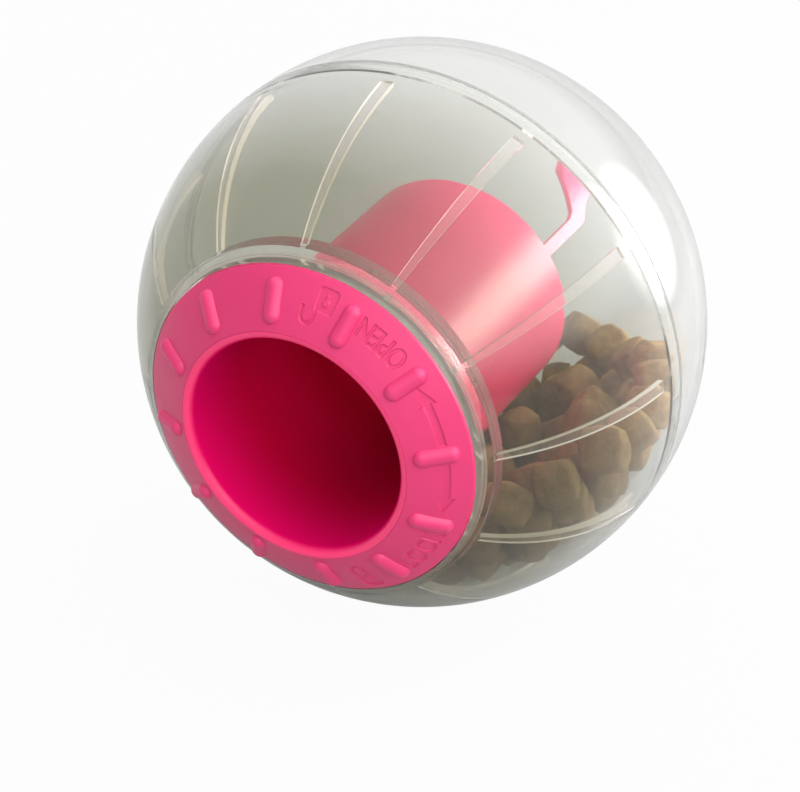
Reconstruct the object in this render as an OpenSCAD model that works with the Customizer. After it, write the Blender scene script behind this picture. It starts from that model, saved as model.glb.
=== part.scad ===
// Treat ball: two clear half shells with a turning dial and a treat chute.
// Pets roll the ball about and the dry treats inside drop out through the chute.
// The ball's centre is the origin, +Z is up and the mouth faces -Y.
// Lengths are in millimetres and angles in degrees. A clock angle is counted
// clockwise from straight up, as seen from in front of the mouth.

/* [Ball] */
// Outside diameter of the ball
ball_d = 100; // [94:1:115]
// Wall thickness of both shells
shell_wall = 2; // [1.6:0.1:2.6]

/* [Seam] */
// How far the rear shell's lip reaches into the front shell
lip_reach = 2.6; // [1.6:0.1:4]
// Thickness of the lip
lip_wall = 0.9; // [0.6:0.05:1.1]
// Play round the lip
lip_play = 0.05; // [0.03:0.01:0.15]
// Depth of the fine groove along the seam
seam_groove = 0.2; // [0.1:0.05:0.4]

/* [Ribs] */
// Number of ribs inside the front shell
rib_count = 12; // [6:1:16]
// Height of a rib
rib_height = 0.9; // [0.5:0.1:1.4]
// Width of a rib beside the dial
rib_w_dial = 0.9; // [0.6:0.1:1.6]
// Width of a rib beside the seam
rib_w_seam = 2.2; // [1.2:0.1:3]
// Distance from the ribs' ends to the lip
rib_end_gap = 2; // [1:0.1:4]
// Clock angle of one rib
rib_clock = -4.75; // [-15:0.25:15]

/* [Dial] */
// Outside diameter of the dial
dial_d = 61.7; // [58:0.1:66]
// Thickness of the dial's face
dial_thick = 2.4; // [1.8:0.1:3]
// Rounding of the dial's outer edge
dial_edge = 0.8; // [0.4:0.1:1.2]
// Wall of the skirt behind the dial
skirt_wall = 1.3; // [1:0.1:1.8]
// Gap between the dial and the pieces that it turns past
turn_play = 0.3; // [0.25:0.05:0.5]

/* [Grips] */
// Number of grip bars on the dial
grip_count = 12; // [6:1:18]
// Length of a grip bar
grip_len = 8.2; // [5:0.1:8.6]
// Width of a grip bar
grip_w = 3.4; // [2:0.1:3.8]
// How far a grip bar stands out of the dial
grip_stand = 1; // [0.6:0.05:1.2]
// Clock angle of one grip bar
grip_clock = -10.25; // [-15:0.25:15]

/* [Bayonet] */
// Number of lugs on the skirt
lug_count = 3; // [2:1:4]
// Angle that one lug covers
lug_angle = 14; // [10:1:18]
// How far a lug stands out of the skirt
lug_stand = 1.1; // [0.8:0.1:1.4]
// Thickness of a lug along the skirt
lug_thick = 1.6; // [1.2:0.1:2.2]
// Distance from the skirt's end to the lugs
lug_inset = 3; // [2:0.1:5]
// Angle that the dial turns from open to locked
lock_turn = 40; // [25:1:50]
// Clock angle of one lug while the dial is open
lug_clock = 20; // [0:1:60]

/* [Neck] */
// Wall of the neck sleeve
neck_wall = 2; // [1.8:0.1:2.6]
// Distance from the ball's centre to the neck's inner end
neck_end = 25; // [20:0.5:28]
// Wall of the seat behind the dial
seat_wall = 1.6; // [1.2:0.1:2.2]
// Wall of the step round the dial
step_wall = 1.2; // [1:0.1:2]

/* [Chute] */
// Bore of the chute
bore_d = 39.6; // [37:0.1:42]
// Wall of the chute
chute_wall = 1.3; // [1:0.1:1.8]
// Distance from the ball's centre back to the chute's inner rim
chute_back = 14; // [8:0.5:20]
// Rounding of the mouth's inner edge
mouth_round = 1.5; // [0.8:0.1:1.6]
// How far the mouth's lip stands over the dial
mouth_lip = 0.4; // [0.3:0.05:0.6]
// Thickness of the mouth's lip
mouth_lip_thick = 1; // [0.8:0.1:1.4]
// Play of the dial on the chute
run_play = 0.05; // [0.02:0.01:0.1]
// Thickness of the collar that carries the skirt
collar_thick = 1.5; // [1:0.1:2.5]
// Distance from the neck's inner end to the collar
collar_inset = 1; // [0.5:0.1:2]

/* [Finger] */
// Width of the finger's stem
stem_w = 2.2; // [1.6:0.1:3]
// Length of the stem behind the chute's rim
stem_len = 13.9; // [8:0.1:16]
// Length of the blade
blade_len = 12.8; // [8:0.1:15]
// Widest part of the blade
blade_w = 5.5; // [3:0.1:6.5]
// Angle of the blade to the chute's rim
blade_slope = 36; // [20:1:60]
// Clock angle of the stem
stem_clock = 55; // [40:1:80]
// How much thinner the finger is than the chute's wall
finger_step = 0.3; // [0.25:0.05:0.5]

/* [Treats] */
// Side of a treat
treat_side = 7.4; // [6.6:0.1:8]
// Thickness of a treat
treat_thick = 6.4; // [5.6:0.1:7]
// Size of a treat across its rounded corners
treat_across = 8.5; // [8.2:0.1:9]
// How far a treat may lean
treat_lean = 8; // [0:1:15]
// Play between two treats
treat_play = 0.1; // [0.05:0.05:0.3]
// Gap between the treats and the shell, neck and chute
treat_gap = 0.3; // [0.2:0.05:0.5]
// Number of layers in the heap
layer_count = 3; // [1:1:4]
// Depth of the heap's top below the ball's centre
heap_level = 23.3; // [22:0.1:34]
// Angle by which the heap rises towards the right
heap_slope = 22; // [0:1:30]

/* [Hidden] */
$fn = 96;
over = 1;

ball_r = ball_d / 2;
inner_r = ball_r - shell_wall;
lip_r = inner_r + lip_wall;

dial_r = dial_d / 2;
dial_under_r = ball_r - dial_thick;
pocket_r = dial_r + turn_play;
seat_r = dial_under_r - turn_play;
seat_inner_r = seat_r - seat_wall;
step_r = pocket_r + step_wall;

bore_r = bore_d / 2;
tube_r = bore_r + chute_wall;
dial_bore_r = tube_r + run_play;
skirt_r = dial_bore_r + skirt_wall;
neck_r = skirt_r + turn_play;
neck_outer_r = neck_r + neck_wall;
lug_r = skirt_r + lug_stand;
groove_r = lug_r + turn_play;

mouth_r = tube_r + mouth_lip;
mouth_d = depth_on(ball_r, mouth_r);
mouth_lip_back = mouth_d - mouth_lip_thick;
collar_d = neck_end + collar_inset;
skirt_end = collar_d + collar_thick + turn_play;
lug_d = skirt_end + lug_inset;
play_angle = turn_play / groove_r * 180 / PI;

rib_end_d = lip_reach + rib_end_gap;
grip_mid_r = (mouth_r + dial_r) / 2;
grip_polar = asin(grip_mid_r / ball_r);

treat_r = treat_across / 2;
treat_flat_r = sqrt(treat_r * treat_r - treat_thick * treat_thick / 4);
lean_both = treat_lean * sqrt(2);
treat_half = treat_thick / 2 * cos(lean_both) + treat_flat_r * sin(lean_both);
treat_pitch = treat_across + treat_play;
layer_pitch = 2 * treat_half + treat_play;
heap_r = inner_r - rib_height - treat_gap - treat_half;
step_polar = asin(step_r / seat_inner_r);

// Distance from the ball's centre, along the axis, of a sphere's point at radius r
function depth_on(sphere_r, r) = sqrt(sphere_r * sphere_r - r * r);

// Turns a shape whose axis is Z so that its axis points out of the mouth
module face_front() {
    rotate([90, 0, 0]) children();
}

// Turns a shape that lies along X to a clock angle
module at_clock(angle) {
    rotate([0, 0, 90 - angle]) children();
}

// Repeats a shape round the axis
module round_axis(count, first) {
    for (i = [0 : count - 1]) at_clock(first + i * 360 / count) children();
}

// Profile of a spherical wall
module wall_profile(outer, inner) {
    difference() {
        circle(outer);
        circle(inner);
    }
}

// Part of a profile from radius r1 to r2 and from depth d1 to d2
module band(r1, r2, d1, d2) {
    translate([r1, d1]) square([r2 - r1, d2 - d1]);
}

// Fine groove that shows the seam
module seam_cut() {
    polygon([
        [ball_r - seam_groove, 0],
        [ball_r + over, seam_groove + over],
        [ball_r + over, -seam_groove - over]
    ]);
}

// Part of a ring between two clock angles
module ring_part(r1, r2, d1, d2, clock1, clock2) {
    rotate([0, 0, 90 - clock2])
        rotate_extrude(angle = clock2 - clock1)
            band(r1, r2, d1, d2);
}

// Front shell

module front_profile() {
    difference() {
        union() {
            intersection() {
                wall_profile(ball_r, inner_r);
                band(pocket_r, ball_r, 0, ball_r);
            }
            intersection() {
                wall_profile(ball_r, seat_inner_r);
                band(pocket_r, step_r, 0, ball_r);
            }
            intersection() {
                wall_profile(seat_r, seat_inner_r);
                band(neck_r, step_r, 0, ball_r);
            }
            intersection() {
                circle(seat_r);
                band(neck_r, neck_outer_r, neck_end, ball_r);
            }
        }
        band(inner_r - over, lip_r + lip_play, -over, lip_reach + lip_play);
        seam_cut();
    }
}

// One rib, wider towards the seam, that stands on the inside of the wall
module rib() {
    intersection() {
        rotate_extrude()
            intersection() {
                wall_profile(inner_r + shell_wall / 2, inner_r - rib_height);
                band(step_r - step_wall / 2, ball_r, rib_end_d, ball_r);
            }
        linear_extrude(ball_r)
            polygon([
                [step_r - step_wall, -rib_w_dial / 2],
                [inner_r, -rib_w_seam / 2],
                [inner_r + shell_wall / 2, -rib_w_seam / 2],
                [inner_r + shell_wall / 2, rib_w_seam / 2],
                [inner_r, rib_w_seam / 2],
                [step_r - step_wall, rib_w_dial / 2]
            ]);
    }
}

// Ways for the lugs: in along the neck, then round under its wall
module bayonet_cuts() {
    for (i = [0 : lug_count - 1]) {
        clock = lug_clock + i * 360 / lug_count;
        from = clock - lug_angle / 2 - play_angle;
        to = clock + lug_angle / 2 + play_angle;
        ring_part(neck_r - over, groove_r + turn_play / 2, lug_d + lug_thick / 2, ball_r, from, to);
        ring_part(neck_r - 2 * over, groove_r, lug_d - turn_play, lug_d + lug_thick + turn_play,
            from - play_angle, to + lock_turn);
    }
}

module front_shell() {
    color([0.62, 0.63, 0.55, 0.5])
        face_front()
            difference() {
                union() {
                    rotate_extrude() front_profile();
                    round_axis(rib_count, rib_clock) rib();
                }
                bayonet_cuts();
            }
}

// Rear shell

module rear_profile() {
    difference() {
        union() {
            intersection() {
                wall_profile(ball_r, inner_r);
                band(0, ball_r, -ball_r, 0);
            }
            difference() {
                band(inner_r - over, lip_r, 0, lip_reach);
                circle(inner_r);
            }
        }
        seam_cut();
    }
}

module rear_shell() {
    color([0.93, 0.94, 0.93, 0.4])
        face_front()
            rotate_extrude() rear_profile();
}

// Dial

module dial_profile() {
    edge_r = dial_r - dial_edge;
    edge_d = depth_on(ball_r - dial_edge, edge_r);
    difference() {
        union() {
            intersection() {
                wall_profile(ball_r, dial_under_r);
                band(dial_bore_r, dial_r, 0, ball_r);
            }
            intersection() {
                circle(ball_r - dial_thick / 2);
                band(dial_bore_r, skirt_r, skirt_end, ball_r);
            }
        }
        difference() {
            polygon([
                [edge_r, edge_d],
                [edge_r, edge_d] * (1 + dial_edge / 2),
                [dial_r + over, ball_r],
                [dial_r + over, edge_d]
            ]);
            translate([edge_r, edge_d]) circle(dial_edge);
        }
        band(0, mouth_r + run_play, mouth_lip_back - turn_play, ball_r);
    }
}

// One rounded grip bar along the slope of the dial's face
module grip() {
    straight = grip_len - grip_w;
    rotate([0, grip_polar, 0])
        translate([0, 0, ball_r + grip_stand - grip_w / 2]) {
            rotate([0, 90, 0]) cylinder(d = grip_w, h = straight, center = true);
            for (side = [-1, 1]) translate([side * straight / 2, 0, 0]) sphere(d = grip_w);
        }
}

module lug(clock) {
    ring_part(skirt_r - skirt_wall / 2, lug_r, lug_d, lug_d + lug_thick,
        clock - lug_angle / 2, clock + lug_angle / 2);
}

module dial() {
    color([0.95, 0.2, 0.45])
        face_front() {
            rotate_extrude() dial_profile();
            round_axis(grip_count, grip_clock) grip();
            for (i = [0 : lug_count - 1]) lug(lug_clock + i * 360 / lug_count);
        }
}

// Chute

module chute_profile() {
    difference() {
        union() {
            band(bore_r, tube_r, -chute_back, mouth_d);
            band(bore_r, mouth_r, mouth_lip_back, mouth_d);
            band(bore_r, skirt_r, collar_d, collar_d + collar_thick);
        }
        difference() {
            band(bore_r - over, bore_r + mouth_round, mouth_d - mouth_round, mouth_d + over);
            translate([bore_r + mouth_round, mouth_d - mouth_round]) circle(mouth_round);
        }
    }
}

// Outline of the finger as seen from outside: a stem, and a leaf-shaped blade on its end
module finger_outline() {
    along = [-cos(blade_slope), -sin(blade_slope)];
    across = [-sin(blade_slope), cos(blade_slope)];
    knee = [stem_w / 2, -stem_len];
    leaf = [
        [0, 0], [0.35, -0.27], [0.48, -0.46], [0.55, -0.5], [0.75, -0.26],
        [0.94, 0], [1, 0.13], [0.98, 0.25], [0.8, 0.43], [0.12, 0.52]
    ];
    polygon(concat(
        [[stem_w / 2, over]],
        [for (p = leaf) knee + along * blade_len * p[0] + across * blade_w * p[1]],
        [[-stem_w / 2, blade_w * 0.6 - stem_len], [-stem_w / 2, over]]
    ));
}

// The finger is a piece of the tube's own wall that goes on past its rim
module finger() {
    intersection() {
        rotate_extrude() band(bore_r + finger_step, tube_r, -ball_r, over - chute_back);
        at_clock(stem_clock)
            translate([0, 0, -chute_back])
                rotate([90, 0, 90])
                    linear_extrude(ball_r)
                        mirror([1, 0]) finger_outline();
    }
}

module chute() {
    color([0.93, 0.3, 0.5])
        face_front() {
            rotate_extrude() chute_profile();
            finger();
        }
}

// Treats

// A repeatable number from -1 to 1 for the i-th treat
function scatter(i, salt) = sin(i * 137.5 + salt * 61) * cos(i * 71.3 * salt);

// Number of treats that fit round one ring of a layer
function ring_count(layer_r, polar) =
    polar == 0 ? 1 : floor(180 / asin(min(1, treat_pitch / (2 * layer_r * sin(polar)))));

// Middles of the treats in a heap that lies in the bottom of the ball
function heap_points() = [
    for (layer = [0 : layer_count - 1])
        let (
            layer_r = heap_r - layer * layer_pitch,
            ring_step = 2 * asin(treat_pitch / (2 * layer_r)))
        for (ring = [0 : floor(80 / ring_step)])
            let (
                polar = ring * ring_step,
                count = ring_count(layer_r, polar))
            if (layer_r * cos(polar) > heap_level)
                for (k = [0 : count - 1])
                    let (
                        turn = (k + layer / 2 + ring / 3) * 360 / count,
                        x = layer_r * sin(polar) * cos(turn),
                        y = layer_r * sin(polar) * sin(turn),
                        z = -layer_r * cos(polar),
                        place = [
                            x * cos(heap_slope) - z * sin(heap_slope),
                            y,
                            z * cos(heap_slope) + x * sin(heap_slope)])
                        if (is_clear(place)) place
];

// Whether a treat at this place stays off the chute, the neck and the seat
function is_clear(place) =
    let (
        from_axis = norm([place[0], place[2]]),
        room = treat_r + treat_gap,
        beside_neck = -place[1] > neck_end - room,
        behind_chute = place[1] > chute_back + room,
        from_mouth = acos(-place[1] / norm(place)))
    (behind_chute || from_axis > (beside_neck ? neck_outer_r : tube_r) + room)
        && from_mouth > step_polar + asin(room / seat_inner_r);

// A small dry pillow: a block whose edges and corners are rounded off
module treat() {
    intersection() {
        cube([treat_side, treat_side, treat_thick], center = true);
        sphere(treat_r);
    }
}

module treats() {
    places = heap_points();
    color([0.45, 0.33, 0.2])
        for (i = [0 : len(places) - 1]) {
            place = places[i];
            heading = atan2(place[1], place[0]);
            lean = acos(place[2] / norm(place));
            translate(place)
                rotate([0, lean, heading])
                    rotate([treat_lean * scatter(i, 1), treat_lean * scatter(i, 2), 180 * scatter(i, 3)])
                        treat();
        }
}

front_shell();
rear_shell();
dial();
chute();
treats();
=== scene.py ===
# Treat ball: a smoky front shell, a clear rear shell, a pink dial and chute, and dry treats inside.
# Metres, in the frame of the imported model: the ball's centre is the origin, +Z is up and the mouth
# faces -Y. A clock angle is counted clockwise from straight up, as seen from in front of the mouth.
import math
import random

import bpy
from mathutils import Matrix, Quaternion, Vector


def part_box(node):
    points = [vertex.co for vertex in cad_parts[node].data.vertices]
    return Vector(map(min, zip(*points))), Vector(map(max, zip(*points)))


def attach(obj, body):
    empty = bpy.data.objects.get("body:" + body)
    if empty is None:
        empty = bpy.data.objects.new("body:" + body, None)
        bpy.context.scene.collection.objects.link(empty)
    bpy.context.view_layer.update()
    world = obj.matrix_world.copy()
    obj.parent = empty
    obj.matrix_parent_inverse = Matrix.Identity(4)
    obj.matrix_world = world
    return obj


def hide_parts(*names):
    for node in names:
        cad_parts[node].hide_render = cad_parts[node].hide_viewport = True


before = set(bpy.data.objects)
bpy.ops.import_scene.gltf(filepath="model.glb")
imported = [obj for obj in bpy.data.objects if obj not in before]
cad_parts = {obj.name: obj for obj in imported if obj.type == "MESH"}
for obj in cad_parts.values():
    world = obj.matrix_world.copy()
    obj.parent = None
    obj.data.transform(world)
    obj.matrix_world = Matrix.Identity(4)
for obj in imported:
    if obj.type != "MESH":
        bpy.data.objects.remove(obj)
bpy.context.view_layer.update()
bpy.context.scene.view_settings.view_transform = "Standard"

# Sizes of the solids: radii about the ball's centre or the chute's axis, and places along that axis
MM = 0.001
shell_low, shell_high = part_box("front_shell")
BALL_R = shell_high.x
FLOOR_Z = shell_low.z
WALL_INNER_R = 48 * MM
RIB_TOP_R = 47.1 * MM
STEP_R = 32.35 * MM
POCKET_R = 31.15 * MM
NECK_R = 24.75 * MM
NECK_END = -25 * MM
TUBE_R = 21.1 * MM
BORE_R = 19.8 * MM
MOUTH_FRONT = -44 * MM
CHUTE_END = 14 * MM


# Ways to work on objects

CORNER_MERGE = 0.001 * MM
SHARP_ANGLE = math.radians(30)


def deselect_all():
    if bpy.context.object and bpy.context.object.mode != "OBJECT":
        bpy.ops.object.mode_set(mode="OBJECT")
    bpy.ops.object.select_all(action="DESELECT")


def make_active(obj):
    deselect_all()
    obj.select_set(True)
    bpy.context.view_layer.objects.active = obj


def edit_all(obj, operator, **settings):
    """Runs an edit mode operator on the whole of a mesh."""
    make_active(obj)
    bpy.ops.object.mode_set(mode="EDIT")
    bpy.ops.mesh.select_all(action="SELECT")
    operator(**settings)
    bpy.ops.object.mode_set(mode="OBJECT")


def apply_modifiers(obj):
    make_active(obj)
    for modifier in list(obj.modifiers):
        bpy.ops.object.modifier_apply(modifier=modifier.name)


def join(objects, name):
    make_active(objects[0])
    for obj in objects:
        obj.select_set(True)
    bpy.ops.object.join()
    joined = bpy.context.object
    joined.name = name
    joined.data.name = name
    return joined


def merged_copy(node):
    """A copy of a node's mesh whose faces share their corners."""
    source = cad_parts[node]
    copy = source.copy()
    copy.data = source.data.copy()
    copy.parent = None
    bpy.context.scene.collection.objects.link(copy)
    make_active(copy)
    bpy.ops.mesh.customdata_custom_splitnormals_clear()
    edit_all(copy, bpy.ops.mesh.remove_doubles, threshold=CORNER_MERGE)
    return copy


def give_material(piece, material):
    piece.data.materials.clear()
    piece.data.materials.append(material)


def shade_evenly(piece):
    """Smooth shading between sharp edges, in which large faces count for more than small ones."""
    make_active(piece)
    bpy.ops.object.shade_smooth_by_angle(angle=SHARP_ANGLE)
    even = piece.modifiers.new("even", "WEIGHTED_NORMAL")
    even.keep_sharp = True
    apply_modifiers(piece)


# Ways to work on nodes

# Between these values lies most of a noise texture
NOISE_LOW = 0.3
NOISE_HIGH = 0.7
# Colour sockets of a Mix node
MIX_FIRST = 6
MIX_SECOND = 7
MIX_RESULT = 2


class Nodes:
    """Short ways to add and link the nodes of a material, a lamp or the world."""

    def __init__(self, tree):
        self.tree = tree

    def node(self, kind, **settings):
        new = self.tree.nodes.new(kind)
        for key, value in settings.items():
            setattr(new, key, value)
        return new

    def put(self, value, socket):
        """Links another node's output to a socket, or sets the socket to a constant."""
        if isinstance(value, bpy.types.NodeSocket):
            self.tree.links.new(value, socket)
        else:
            socket.default_value = value

    def fed(self, node, values):
        """A node whose first sockets have these values."""
        for value, socket in zip(values, node.inputs):
            self.put(value, socket)
        return node

    def math(self, operation, *values):
        return self.fed(self.node("ShaderNodeMath", operation=operation), values).outputs["Value"]

    def vector(self, operation, *values):
        return self.fed(self.node("ShaderNodeVectorMath", operation=operation), values).outputs

    def mix_shaders(self, share, first, second):
        return self.fed(self.node("ShaderNodeMixShader"), (share, first, second)).outputs["Shader"]

    def times(self, first, second):
        return self.math("MULTIPLY", first, second)

    def largest(self, *values):
        largest = values[0]
        for value in values[1:]:
            largest = self.math("MAXIMUM", largest, value)
        return largest

    def near(self, source, value, reach):
        """One where the source is within this reach of a value, else nought."""
        return self.math("COMPARE", source, value, reach)

    def spread(self, source, low, high, start=NOISE_LOW, end=NOISE_HIGH, way="LINEAR"):
        """A number that goes from low to high as the source goes from start to end."""
        spread = self.node("ShaderNodeMapRange", interpolation_type=way)
        self.fed(spread, (source, start, end, low, high))
        return spread.outputs["Result"]

    def seen_by(self, *rays):
        """One for the named kinds of ray and nought for the rest."""
        path = self.node("ShaderNodeLightPath")
        return self.largest(*[path.outputs[ray] for ray in rays])


class Finish(Nodes):
    """A material with a Principled shader, on the piece's own coordinates."""

    def __init__(self, name):
        self.material = bpy.data.materials.new(name)
        self.material.use_nodes = True
        super().__init__(self.material.node_tree)
        self.shader = self.tree.nodes["Principled BSDF"]
        self.output = self.tree.nodes["Material Output"]
        self.place = self.node("ShaderNodeTexCoord").outputs["Object"]

    def set(self, **values):
        """Sets or links the shader's sockets by their names."""
        for key, value in values.items():
            self.put(value, self.shader.inputs[key.replace("_", " ")])

    def noise(self, scale, detail=3.0, roughness=0.5):
        """Noise of this many waves per metre."""
        noise = self.node("ShaderNodeTexNoise")
        self.put(scale, noise.inputs["Scale"])
        self.put(detail, noise.inputs["Detail"])
        self.put(roughness, noise.inputs["Roughness"])
        self.put(self.place, noise.inputs["Vector"])
        return noise.outputs["Fac"]

    def from_middle(self):
        """Distance from the middle of the piece's coordinates, which in the ball is its centre."""
        return self.vector("LENGTH", self.place)["Value"]

    def from_axis(self):
        """Distance from the chute's axis."""
        across = self.vector("MULTIPLY", self.place, (1, 0, 1))["Vector"]
        return self.vector("LENGTH", across)["Value"]

    def along_axis(self):
        """Place along the chute's axis, less than nought in front of the ball's centre."""
        return self.fed(self.node("ShaderNodeSeparateXYZ"), [self.place]).outputs["Y"]

    def blend(self, share, first, second):
        """A colour that goes from the first to the second as the share goes from nought to one."""
        blend = self.node("ShaderNodeMix", data_type="RGBA")
        self.put(share, blend.inputs["Factor"])
        self.put(first, blend.inputs[MIX_FIRST])
        self.put(second, blend.inputs[MIX_SECOND])
        return blend.outputs[MIX_RESULT]

    def tones(self, source, stops):
        """A colour ramp through (place, colour) stops."""
        node = self.node("ShaderNodeValToRGB")
        elements = node.color_ramp.elements
        while len(elements) < len(stops):
            elements.new(0.5)
        for element, (place, colour) in zip(elements, stops):
            element.position = place
            element.color = (*colour, 1)
        self.put(source, node.inputs["Fac"])
        return node.outputs["Color"]

    def bump(self, source, height, strength):
        """Relief of this height in metres."""
        bump = self.node("ShaderNodeBump")
        self.put(strength, bump.inputs["Strength"])
        self.put(height, bump.inputs["Distance"])
        self.put(source, bump.inputs["Height"])
        self.set(Normal=bump.outputs["Normal"])


# Clear plastic of the shells

PLASTIC_IOR = 1.5
SHELL_WAVES = 90
SHELL_ROUGHNESS = (0.015, 0.04)
FLOW_WAVES = 30
# How dull the frosted faces are, with their colours: the pocket's wall, whose pink is painted light of the
# dial beside it, the seam and the ribs' sides
FROSTED_CLARITY = 0.25
RIB_TOP_FROST = 0.22
POCKET_FROST = 0.5
SEAM_FROST = 0.75
FROST_AND_PAINTED_PINK_TONES = [(POCKET_FROST, (0.46, 0.27, 0.26)), (SEAM_FROST, (0.5, 0.5, 0.48)), (1, (0.85, 0.8, 0.72))]
# How far the frosted faces lie off their radius or place at most
SEAM_REACH = 0.22 * MM
POCKET_REACH = 0.1 * MM
RIB_SIDE_REACH = 0.4 * MM
RIB_TOP_REACH = 0.04 * MM
RIB_START = (STEP_R + 0.1 * MM, STEP_R + 0.2 * MM)
# Radius of each smoky skin, how far its faces lie off that at most, and its share of the smoke
SMOKY_SKINS = [(BALL_R, 0.2 * MM, 1), (WALL_INNER_R, 0.15 * MM, 0.92), (RIB_TOP_R, 0.1 * MM, 0.75)]
# Where the smoke starts to fade and where it is palest, and what is left of it there
SMOKE_FADE = (-27 * MM, -1 * MM)
SMOKE_LEFT = 0.25


def clear_plastic(name, clear, tint, share, frost, clarity, absorbed, density):
    """Clear, slightly hazy plastic that lets lamps shine through, with a tint and some frosted faces."""
    finish = Finish(name)
    dull = frost(finish)
    body = finish.tones(share(finish), [(0, clear), (1, tint)])
    finish.set(
        IOR=PLASTIC_IOR,
        Base_Color=finish.blend(dull, body, finish.tones(dull, FROST_AND_PAINTED_PINK_TONES)),
        Transmission_Weight=finish.spread(dull, clarity, FROSTED_CLARITY, 0, 1),
        Roughness=finish.spread(finish.noise(SHELL_WAVES), *SHELL_ROUGHNESS))
    edge_tint = finish.node("ShaderNodeVolumeAbsorption")
    finish.put((*absorbed, 1), edge_tint.inputs["Color"])
    finish.put(density, edge_tint.inputs["Density"])
    finish.put(edge_tint.outputs["Volume"], finish.output.inputs["Volume"])
    through = finish.node("ShaderNodeBsdfTransparent").outputs["BSDF"]
    lamp_or_sight = finish.mix_shaders(
        finish.seen_by("Is Shadow Ray"), finish.shader.outputs["BSDF"], through)
    finish.put(lamp_or_sight, finish.output.inputs["Surface"])
    return finish.material


def seam_frost(finish):
    """The moulded faces that meet at the seam."""
    return finish.times(finish.near(finish.along_axis(), 0, SEAM_REACH), SEAM_FROST)


def smoky_frost(finish):
    """The faces at the seam, the ribs' sides and, less so, their tops and the pocket's wall."""
    # The pocket's wall takes the pink frost tone, painted light of the pink dial beside it
    pocket = finish.times(finish.near(finish.from_axis(), POCKET_R, POCKET_REACH), POCKET_FROST)
    side = finish.near(finish.from_middle(), (RIB_TOP_R + WALL_INNER_R) / 2, RIB_SIDE_REACH)
    top = finish.times(finish.near(finish.from_middle(), RIB_TOP_R, RIB_TOP_REACH), RIB_TOP_FROST)
    past_step = finish.spread(finish.from_axis(), 0, 1, *RIB_START)
    rib = finish.times(finish.largest(side, top), past_step)
    return finish.largest(pocket, rib, seam_frost(finish))


def smoke(finish):
    """The tint lies in the dome's skins and ribs, not in its neck, and fades towards the seam."""
    centre = finish.from_middle()
    skins = [finish.times(finish.near(centre, radius, reach), share) for radius, reach, share in SMOKY_SKINS]
    fade = finish.spread(finish.along_axis(), 1, SMOKE_LEFT, *SMOKE_FADE)
    return finish.times(finish.largest(*skins), fade)


def faint_flow(finish):
    """Faint moulding flow all over."""
    return finish.spread(finish.noise(FLOW_WAVES), 0, 1)


# Pink plastic of the dial and the chute

PINK_WAVES = 45
GRAIN_WAVES = 1500
GRAIN_HEIGHT = 0.006 * MM
GRAIN_STRENGTH = 0.4
DIAL_SHEEN_WAVES = 160
DIAL_ROUGHNESS = (0.36, 0.44)
# Painted shade along the inside of the chute, from its mouth to its open end: darker deep in the tube, paler
# again towards the open end
CHUTE_PAINTED_SHADE_DEPTHS = [
    (0, (0.64, 0.002, 0.1)),
    (0.26, (0.41, 0.001, 0.031)),
    (0.66, (0.15, 0.0005, 0.0055)),
    (0.8, (0.18, 0.001, 0.009)),
    (1, (0.6, 0.006, 0.09)),
]
# Radii between which the inside's colour, painted shade, gives way to the outside's
CHUTE_RIM = (BORE_R + 0.05 * MM, BORE_R + 0.7 * MM)


def pink_plastic(finish, pale, deep):
    """Moulded pink plastic with a fine even grain; gives its colour."""
    finish.set(IOR=PLASTIC_IOR, Subsurface_Weight=0.1, Subsurface_Scale=1.5 * MM)
    finish.set(Subsurface_Radius=(1.0, 0.3, 0.4))
    finish.bump(finish.noise(GRAIN_WAVES, detail=2), GRAIN_HEIGHT, GRAIN_STRENGTH)
    return finish.tones(finish.noise(PINK_WAVES), [(NOISE_LOW, deep), (NOISE_HIGH, pale)])


def dial_plastic():
    finish = Finish("dial_pink")
    finish.set(
        Base_Color=pink_plastic(finish, (0.68, 0.033, 0.155), (0.65, 0.028, 0.142)),
        Roughness=finish.spread(finish.noise(DIAL_SHEEN_WAVES), *DIAL_ROUGHNESS))
    return finish.material


def chute_plastic():
    """Pink outside, and duller inside, with painted shade that deepens from the mouth into the tube in place
    of the light that goes to and fro there.
    """
    finish = Finish("chute_pink")
    outside = pink_plastic(finish, (0.95, 0.022, 0.165), (0.92, 0.018, 0.15))
    depth = finish.spread(finish.along_axis(), 0, 1, MOUTH_FRONT, CHUTE_END)
    # Painted shade: the inside's colour darkens with depth into the tube
    inside = finish.tones(depth, CHUTE_PAINTED_SHADE_DEPTHS)
    within = finish.spread(finish.from_axis(), 1, 0, *CHUTE_RIM)
    finish.set(
        Base_Color=finish.blend(within, outside, inside),
        Roughness=0.75,
        Specular_IOR_Level=0.0,
        Coat_Weight=finish.spread(within, 1, 0, 0, 1),
        Coat_Roughness=0.26,
        Coat_IOR=1.65)
    return finish.material


# Crumb of the treats

CRUMB_WAVES = 260
CRUMB_TONES = [(0.25, (0.22, 0.127, 0.048)), (0.5, (0.37, 0.23, 0.096)), (0.75, (0.52, 0.35, 0.16))]
PIT_WAVES = 900
PIT_DEPTH = 0.5 * MM
PIT_STRENGTH = 0.6


def baked_treat():
    """Dry baked crumb: mottled brown with pale specks and fine pits."""
    finish = Finish("baked_treat")
    mottle = finish.noise(CRUMB_WAVES, detail=6, roughness=0.65)
    finish.set(Base_Color=finish.tones(mottle, CRUMB_TONES), Roughness=0.8, Specular_IOR_Level=0.25)
    finish.bump(finish.noise(PIT_WAVES, detail=5, roughness=0.6), PIT_DEPTH, PIT_STRENGTH)
    return finish.material


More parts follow.
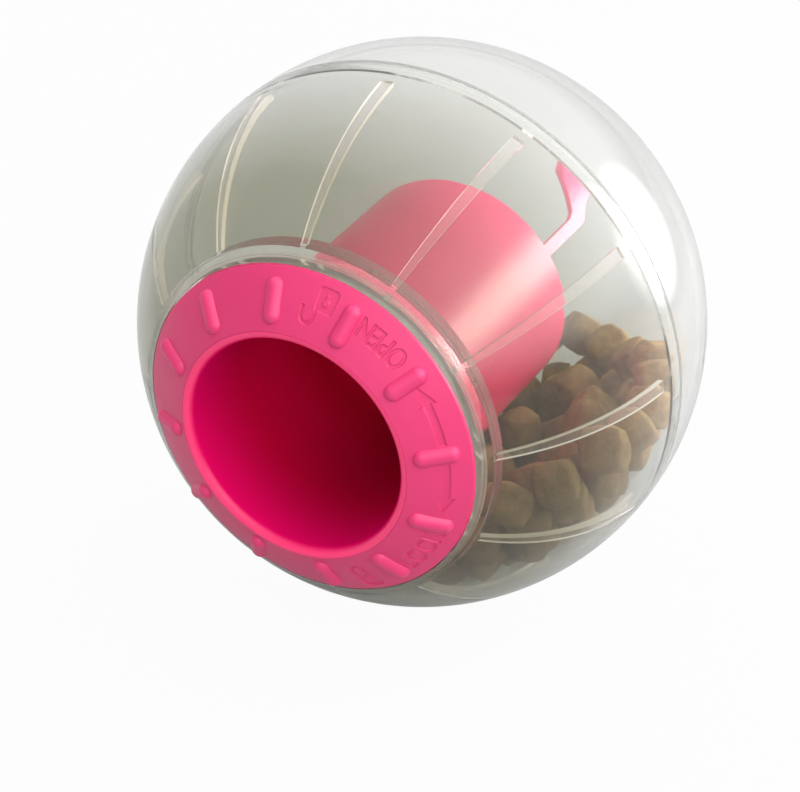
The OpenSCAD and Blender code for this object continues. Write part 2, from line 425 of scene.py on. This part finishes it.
smoky = clear_plastic(
    "smoky_plastic", clear=(0.985, 0.985, 0.98), tint=(0.39, 0.39, 0.305), share=smoke, frost=smoky_frost,
    clarity=0.975, absorbed=(0.45, 0.5, 0.4), density=15)
colourless = clear_plastic(
    "colourless_plastic", clear=(0.96, 0.965, 0.952), tint=(0.935, 0.94, 0.925), share=faint_flow,
    frost=seam_frost, clarity=0.995, absorbed=(0.5, 0.55, 0.45), density=6)
dial_pink = dial_plastic()
chute_pink = chute_plastic()
treat_brown = baked_treat()

cad_finishes = {"front_shell": smoky, "rear_shell": colourless, "dial": dial_pink, "chute": chute_pink}
for node, material in cad_finishes.items():
    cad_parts[node].material_slots[0].material = material


# Rear shell

def even_rear():
    """The rear shell as it is, with even shading at its pole."""
    rear = merged_copy("rear_shell")
    rear.name = "even_rear_shell"
    give_material(rear, colourless)
    shade_evenly(rear)
    return rear


rear_shell = even_rear()
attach(rear_shell, "ball")
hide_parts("rear_shell")


# Signs that are sunk in the dial: words, arrows and padlocks, all with their tops to the mouth

SIGN_MID_R = 27.2 * MM
SIGN_DEPTH = 0.28 * MM
SIGN_SLOPE = 0.16 * MM
SIGN_CURVE_STEPS = 6
SIGN_CUTS = 2
SIGN_MERGE = 0.002 * MM
LETTER_SIZE = 4.2 * MM
LETTER_WIDTH = 0.86
LETTER_FOOT_R = 28.75 * MM
PADLOCK_FOOT_R = 29.65 * MM
# Each word's spacing and clock angle, and the clock angles of the arrows' tips and the padlocks
WORDS = [("OPEN", 1.04, 33.6), ("LOCK", 1.1, 124.6)]
OPEN_TIP_CLOCK = 53.6
LOCK_TIP_CLOCK = 103.0
OPEN_PADLOCK_CLOCK = 9.9
SHUT_PADLOCK_CLOCK = 154.0
# Outlines of the arrows and padlocks, in millimetres
OPEN_ARROW = (10.6, 2.9)
LOCK_ARROW = (9.2, 2.3)
ARROW_HALF = 0.5
ARROW_BARB = 1.15
ARROW_SWEEP = 0.15
ARROW_STEPS = 10
BODY_HALF = 1.6
BODY_HIGH = 3.3
BODY_CORNER = 0.5
EYE_UP = 2.0
EYE_R = 0.65
SLOT_UP = 0.8
SLOT_HALF = 0.4
BOW_HALF = 1.25
BOW_FOOT = 3.2
BOW_LEG = 4.35
BOW_STROKE = 0.4
OPEN_BOW_ASIDE = 2.5
ROUND_STEPS = 14
CORNER_STEPS = 4


def outline(name, loops):
    """A flat cutter from closed loops of points in millimetres; inner loops are holes."""
    data = bpy.data.curves.new(name, "CURVE")
    data.dimensions = "2D"
    data.fill_mode = "BOTH"
    for loop in loops:
        spline = data.splines.new("POLY")
        spline.points.add(len(loop) - 1)
        for point, (x, y) in zip(spline.points, loop):
            point.co = (x * MM, y * MM, 0, 1)
        spline.use_cyclic_u = True
    flat = bpy.data.objects.new(name, data)
    bpy.context.scene.collection.objects.link(flat)
    return thick(flat)


def word(text, spacing):
    deselect_all()
    bpy.ops.object.text_add()
    lettering = bpy.context.object
    lettering.data.body = text
    lettering.data.align_x = "CENTER"
    lettering.data.size = LETTER_SIZE
    lettering.data.space_character = spacing
    return thick(lettering)


def thick(flat):
    """Gives a curve or text its depth and sloped sides, and makes it a mesh."""
    flat.data.extrude = SIGN_DEPTH - SIGN_SLOPE
    flat.data.bevel_depth = SIGN_SLOPE
    flat.data.bevel_resolution = 0
    flat.data.resolution_u = SIGN_CURVE_STEPS
    make_active(flat)
    bpy.ops.object.convert(target="MESH")
    solid = bpy.context.object
    edit_all(solid, bpy.ops.mesh.remove_doubles, threshold=SIGN_MERGE)
    edit_all(solid, bpy.ops.mesh.subdivide, number_cuts=SIGN_CUTS)
    return solid


def set_on_dial(solid, clock, foot_r, width=1.0):
    """Lays a flat sign round the dial's face, its middle at a clock angle and its foot at a radius."""
    for vertex in solid.data.vertices:
        along, up, height = vertex.co
        radius = foot_r - up
        angle = math.radians(clock) - along * width / SIGN_MID_R
        depth = math.sqrt(BALL_R ** 2 - radius ** 2)
        lie = Vector((radius * math.sin(angle), -depth, radius * math.cos(angle)))
        vertex.co = lie * (1 + height / BALL_R)
    return solid


def arc(middle, radius, start, end, steps):
    """Points of an arc in millimetres, angles in degrees."""
    turns = [math.radians(start + (end - start) * i / steps) for i in range(steps + 1)]
    return [(middle[0] + radius * math.cos(t), middle[1] + radius * math.sin(t)) for t in turns]


def arrow(name, length, head):
    """An arrow along +X whose tip is at the origin."""
    shaft = length - head
    top = [(-length + shaft * i / ARROW_STEPS, ARROW_HALF) for i in range(ARROW_STEPS + 1)]
    low = [(x, -y) for x, y in reversed(top)]
    barb_x = -head - ARROW_SWEEP
    return outline(name, [top + [(barb_x, ARROW_BARB), (0, 0), (barb_x, -ARROW_BARB)] + low])


def shackle(aside):
    """The bow of a padlock: two legs and a half circle."""
    outside = arc((aside, BOW_LEG), BOW_HALF + BOW_STROKE / 2, 0, 180, ROUND_STEPS)
    inside = arc((aside, BOW_LEG), BOW_HALF - BOW_STROKE / 2, 180, 0, ROUND_STEPS)
    left = [(outside[-1][0], BOW_FOOT), (inside[0][0], BOW_FOOT)]
    right = [(inside[-1][0], BOW_FOOT), (outside[0][0], BOW_FOOT)]
    return outside + left + inside + right


def padlock(name, bow_aside):
    """A body with a keyhole and a bow, which stands aside where the padlock is open."""
    body = []
    inner = BODY_HALF - BODY_CORNER
    upper = BODY_HIGH - BODY_CORNER
    corners = [(inner, upper), (-inner, upper), (-inner, BODY_CORNER), (inner, BODY_CORNER)]
    for quarter, middle in enumerate(corners):
        body += arc(middle, BODY_CORNER, 90 * quarter, 90 * (quarter + 1), CORNER_STEPS)
    eye = arc((0, EYE_UP), EYE_R, -60, 240, ROUND_STEPS)
    keyhole = eye + [(-SLOT_HALF, SLOT_UP), (SLOT_HALF, SLOT_UP)]
    return [outline(name + "_body", [body, keyhole]), outline(name + "_bow", [shackle(bow_aside)])]


def cut_signs():
    signs = [set_on_dial(word(text, gap), clock, LETTER_FOOT_R, LETTER_WIDTH) for text, gap, clock in WORDS]
    to_open = arrow("arrow_to_open", *OPEN_ARROW)
    to_lock = arrow("arrow_to_lock", *LOCK_ARROW)
    to_lock.data.transform(Matrix.Rotation(math.pi, 4, "Z"))
    signs.append(set_on_dial(to_open, OPEN_TIP_CLOCK, SIGN_MID_R))
    signs.append(set_on_dial(to_lock, LOCK_TIP_CLOCK, SIGN_MID_R))
    for solid in padlock("open_padlock", OPEN_BOW_ASIDE):
        signs.append(set_on_dial(solid, OPEN_PADLOCK_CLOCK, PADLOCK_FOOT_R))
    for solid in padlock("shut_padlock", 0):
        signs.append(set_on_dial(solid, SHUT_PADLOCK_CLOCK, PADLOCK_FOOT_R))
    return signs


def engrave_dial():
    """The dial as it is, with the signs cut into its face."""
    dial = merged_copy("dial")
    dial.name = "engraved_dial"
    for sign in cut_signs():
        cut = dial.modifiers.new(sign.name, "BOOLEAN")
        cut.operation = "DIFFERENCE"
        cut.solver = "EXACT"
        cut.object = sign
        apply_modifiers(dial)
        bpy.data.objects.remove(sign)
    give_material(dial, dial_pink)
    shade_evenly(dial)
    return dial


engraved_dial = engrave_dial()
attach(engraved_dial, "dial")
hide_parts("dial")


# Treats: one pillow is modelled and laid where each solid treat lies, then baked uneven

PILLOW_CUTS = 7
PILLOW_ROUND = 0.62
PILLOW_SWELL = 0.84 * MM
PILLOW_SWELL_MIDDLE = 0.45
PILLOW_LUMP = 3.2 * MM
# How far a treat lies off its solid's place, how large it is to the solid, and the room that it needs
TREAT_SHIFT = 1.5 * MM
TREAT_LEAST = 1.02
TREAT_MOST = 1.14
TREAT_ROOM = 4.7 * MM
TREAT_SEED = 5
# The most that the cosine of two flat sides of a treat may be, for them to count as square
SQUARE_ENOUGH = 0.1


def treat_places():
    """Middle, axes and spans of each solid treat, from its flat sides, thickness last."""
    edit_all(merged_copy("treats"), bpy.ops.mesh.separate, type="LOOSE")
    places = []
    for piece in list(bpy.context.selected_objects):
        axes = flat_sides(piece.data)
        corners = [vertex.co for vertex in piece.data.vertices]
        spans = []
        middle = Vector()
        for axis in axes:
            low = min(corner.dot(axis) for corner in corners)
            high = max(corner.dot(axis) for corner in corners)
            spans.append(high - low)
            middle += axis * (high + low) / 2
        order = sorted(range(3), key=lambda i: -spans[i])
        places.append((middle, [axes[i] for i in order], [spans[i] for i in order]))
        bpy.data.objects.remove(piece)
    return places


def flat_sides(mesh):
    """The three directions, square to each other, in which a treat has most flat surface."""
    sides = {}
    for polygon in mesh.polygons:
        normal = polygon.normal.copy()
        if max(normal, key=abs) < 0:
            normal.negate()
        key = tuple(round(c, 2) for c in normal)
        area, kept = sides.get(key, (0, normal))
        sides[key] = (area + polygon.area, kept)
    axes = []
    for area, normal in sorted(sides.values(), key=lambda side: -side[0]):
        if len(axes) < 3 and all(abs(normal.dot(axis)) < SQUARE_ENOUGH for axis in axes):
            axes.append(normal)
    return axes


def make_pillow():
    """A soft-cornered block one unit across, ready to be laid and baked."""
    deselect_all()
    bpy.ops.mesh.primitive_cube_add(size=1)
    pillow = bpy.context.object
    edit_all(pillow, bpy.ops.mesh.subdivide, number_cuts=PILLOW_CUTS)
    edit_all(pillow, bpy.ops.transform.tosphere, value=PILLOW_ROUND)
    bpy.ops.object.shade_smooth()
    return pillow


def has_room(middle):
    """Whether a treat stays off the chute and the neck."""
    if middle.y > CHUTE_END + TREAT_ROOM:
        return True
    sleeve = NECK_R if middle.y < NECK_END + TREAT_ROOM else TUBE_R
    return math.hypot(middle.x, middle.z) > sleeve + TREAT_ROOM


def jumble(middle, turn, chance):
    """Shifts and turns a treat as it would lie in a loose heap, if there is room for that."""
    shift = Vector([chance.uniform(-1, 1) for axis in range(3)]) * TREAT_SHIFT
    roll = Quaternion([chance.gauss(0, 1) for part in range(4)]).normalized().to_matrix()
    moved = middle + shift
    most = RIB_TOP_R - TREAT_ROOM
    if moved.length > most:
        moved *= most / moved.length
    return (moved, roll) if has_room(moved) else (middle, turn)


def lay_treats():
    pillow = make_pillow()
    reach = 2 * max(vertex.co.x for vertex in pillow.data.vertices)
    chance = random.Random(TREAT_SEED)
    laid = []
    for middle, axes, spans in treat_places():
        if axes[0].cross(axes[1]).dot(axes[2]) < 0:
            axes[2] = -axes[2]
        turn = Matrix([[axis[i] for axis in axes] for i in range(3)])
        middle, turn = jumble(middle, turn, chance)
        grown = chance.uniform(TREAT_LEAST, TREAT_MOST) / reach
        size = Matrix.Diagonal([span * grown for span in spans])
        treat = pillow.copy()
        treat.data = pillow.data.copy()
        treat.data.transform(Matrix.Translation(middle) @ (turn @ size).to_4x4())
        bpy.context.scene.collection.objects.link(treat)
        laid.append(treat)
    bpy.data.objects.remove(pillow)
    return bake_uneven(join(laid, "treat_heap"))


def bake_uneven(heap):
    """Swells the treats here and there, and gives them their crumb."""
    uneven = bpy.data.textures.new("treat_uneven", "CLOUDS")
    uneven.noise_scale = PILLOW_LUMP
    swell = heap.modifiers.new("uneven", "DISPLACE")
    swell.texture = uneven
    swell.strength = PILLOW_SWELL
    swell.mid_level = PILLOW_SWELL_MIDDLE
    apply_modifiers(heap)
    give_material(heap, treat_brown)
    return heap


heap = lay_treats()
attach(heap, "ball")
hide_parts("treats")


# Floor

FLOOR_SIDE = 6
FLOOR_GREY = (0.32, 0.32, 0.32, 1)
# How white the floor looks: to the camera, and in the plastic beneath the ball and at a distance from it;
# the dimmer white beneath the ball is a painted shadow, which fades out over the last distance
FLOOR_WHITE = 0.96
FLOOR_WHITE_IN_PAINTED_SHADOW = 0.1
FLOOR_WHITE_FAR = 0.64
FLOOR_PAINTED_SHADOW_REACH = 0.155


def make_floor():
    """A pale floor that looks white, also in the plastic, and keeps the ball's shadow; in the plastic it is
    darker beneath the ball, a painted shadow.
    """
    deselect_all()
    bpy.ops.mesh.primitive_plane_add(size=FLOOR_SIDE, location=(0, 0, FLOOR_Z))
    floor = bpy.context.object
    floor.name = "studio_floor"
    finish = Finish("studio_white")
    finish.set(Base_Color=FLOOR_GREY, Roughness=0.7, Specular_IOR_Level=0.0)
    in_sight = finish.times(finish.seen_by("Is Camera Ray"), FLOOR_WHITE)
    # Painted shadow: in the plastic the floor is less white near the ball's foot
    painted_shadow_fade = finish.spread(finish.from_middle(), FLOOR_WHITE_IN_PAINTED_SHADOW, FLOOR_WHITE_FAR, 0, FLOOR_PAINTED_SHADOW_REACH)
    in_plastic = finish.times(finish.seen_by("Is Glossy Ray", "Is Transmission Ray"), painted_shadow_fade)
    white = finish.node("ShaderNodeEmission").outputs["Emission"]
    share = finish.largest(in_sight, in_plastic)
    surface = finish.mix_shaders(share, finish.shader.outputs["BSDF"], white)
    finish.put(surface, finish.output.inputs["Surface"])
    floor.data.materials.append(finish.material)


# Sky

SKY_DIM = 0.12
# Brightness at the horizon, and the height over which the sky takes over from it
HORIZON = 0.6
HORIZON_FADE = 0.3
# Where each glow comes from, the cosines at which it fades out and is full, and how bright it is
SKY_GLOWS = [
    ((0.5, 0.3, 0.8), 0.0, 1.0, 1.3),
    ((0.85, -0.5, 0.3), 0.2, 1.0, 1.35),
    ((-0.6, -0.6, 0.5), 0.0, 1.0, 0.4),
    ((0.95, 0.25, 0.25), 0.2, 1.0, 1.2),
    ((-0.15, 0.9, 0.4), 0.1, 1.0, 0.7),
]
SKY_WHITE = (1, 1, 1, 1)


def make_sky():
    """Soft light, mostly from the top right, with no edges that would show in the plastic."""
    world = bpy.data.worlds.new("studio")
    bpy.context.scene.world = world
    world.use_nodes = True
    sky = Nodes(world.node_tree)
    direction = sky.node("ShaderNodeTexCoord").outputs["Generated"]
    glow = SKY_DIM
    for toward, fades, full, bright in SKY_GLOWS:
        facing = sky.vector("DOT_PRODUCT", direction, Vector(toward).normalized())["Value"]
        glow = sky.math("ADD", sky.spread(facing, 0, bright, fades, full, "SMOOTHSTEP"), glow)
    height = sky.fed(sky.node("ShaderNodeSeparateXYZ"), [direction]).outputs["Z"]
    level = sky.node("ShaderNodeMix")
    sky.put(sky.spread(height, 0, 1, 0, HORIZON_FADE, "SMOOTHSTEP"), level.inputs["Factor"])
    sky.put(HORIZON, level.inputs["A"])
    sky.put(glow, level.inputs["B"])
    light = sky.tree.nodes["Background"]
    sky.put(SKY_WHITE, light.inputs["Color"])
    sky.put(level.outputs["Result"], light.inputs["Strength"])
    white = sky.node("ShaderNodeBackground")
    sky.put(SKY_WHITE, white.inputs["Color"])
    seen_white = sky.seen_by("Is Camera Ray", "Is Transmission Ray")
    surface = sky.mix_shaders(seen_white, light.outputs["Background"], white.outputs["Background"])
    sky.put(surface, sky.tree.nodes["World Output"].inputs["Surface"])


def face_ball(name, data, toward, distance):
    """A lamp or camera that looks at the ball's centre from a direction."""
    placed = bpy.data.objects.new(name, data)
    placed.location = toward * distance
    placed.rotation_euler = (-toward).to_track_quat("-Z", "Y").to_euler()
    bpy.context.scene.collection.objects.link(placed)
    return placed


# A soft box behind the ball on the right, that shows on the chute

BOX_TOWARD = (0.62, 0.76, 0.2)
BOX_DISTANCE = 0.27
BOX_SIDE = 0.2
BOX_POWER = 2.5


def make_soft_box():
    """A square lamp that fades from its middle to its edges, and that the camera doesn't see."""
    data = bpy.data.lights.new("soft_box", "AREA")
    data.size = BOX_SIDE
    data.energy = BOX_POWER
    data.use_nodes = True
    lamp = Nodes(data.node_tree)
    across = lamp.node("ShaderNodeNewGeometry").outputs["Parametric"]
    from_middle = lamp.vector("DISTANCE", across, (0.5, 0.5, 0))["Value"]
    soft = lamp.spread(from_middle, 1, 0, 0, 0.5, "SMOOTHSTEP")
    lamp.put(soft, lamp.tree.nodes["Emission"].inputs["Strength"])
    box = face_ball("soft_box", data, Vector(BOX_TOWARD).normalized(), BOX_DISTANCE)
    box.visible_camera = False


# Camera, from the perspective of the photograph

SENSOR_WIDTH = 36
PHOTO_SIZE = (800, 792)
BALL_PIXEL = (422.2, 321.8)
FOCAL_PIXELS = 3367
CAMERA_DISTANCE = 0.592
CAMERA_AZIMUTH = math.radians(28.4)
CAMERA_ELEVATION = math.radians(31.5)


def make_camera():
    data = bpy.data.cameras.new("camera")
    data.sensor_width = SENSOR_WIDTH
    data.lens = FOCAL_PIXELS / PHOTO_SIZE[0] * SENSOR_WIDTH
    data.shift_x = (PHOTO_SIZE[0] / 2 - BALL_PIXEL[0]) / PHOTO_SIZE[0]
    data.shift_y = (BALL_PIXEL[1] - PHOTO_SIZE[1] / 2) / PHOTO_SIZE[0]
    flat = math.cos(CAMERA_ELEVATION)
    toward = Vector((
        flat * math.sin(CAMERA_AZIMUTH),
        -flat * math.cos(CAMERA_AZIMUTH),
        math.sin(CAMERA_ELEVATION)))
    bpy.context.scene.camera = face_ball("camera", data, toward, CAMERA_DISTANCE)


make_floor()
make_sky()
make_soft_box()
make_camera()
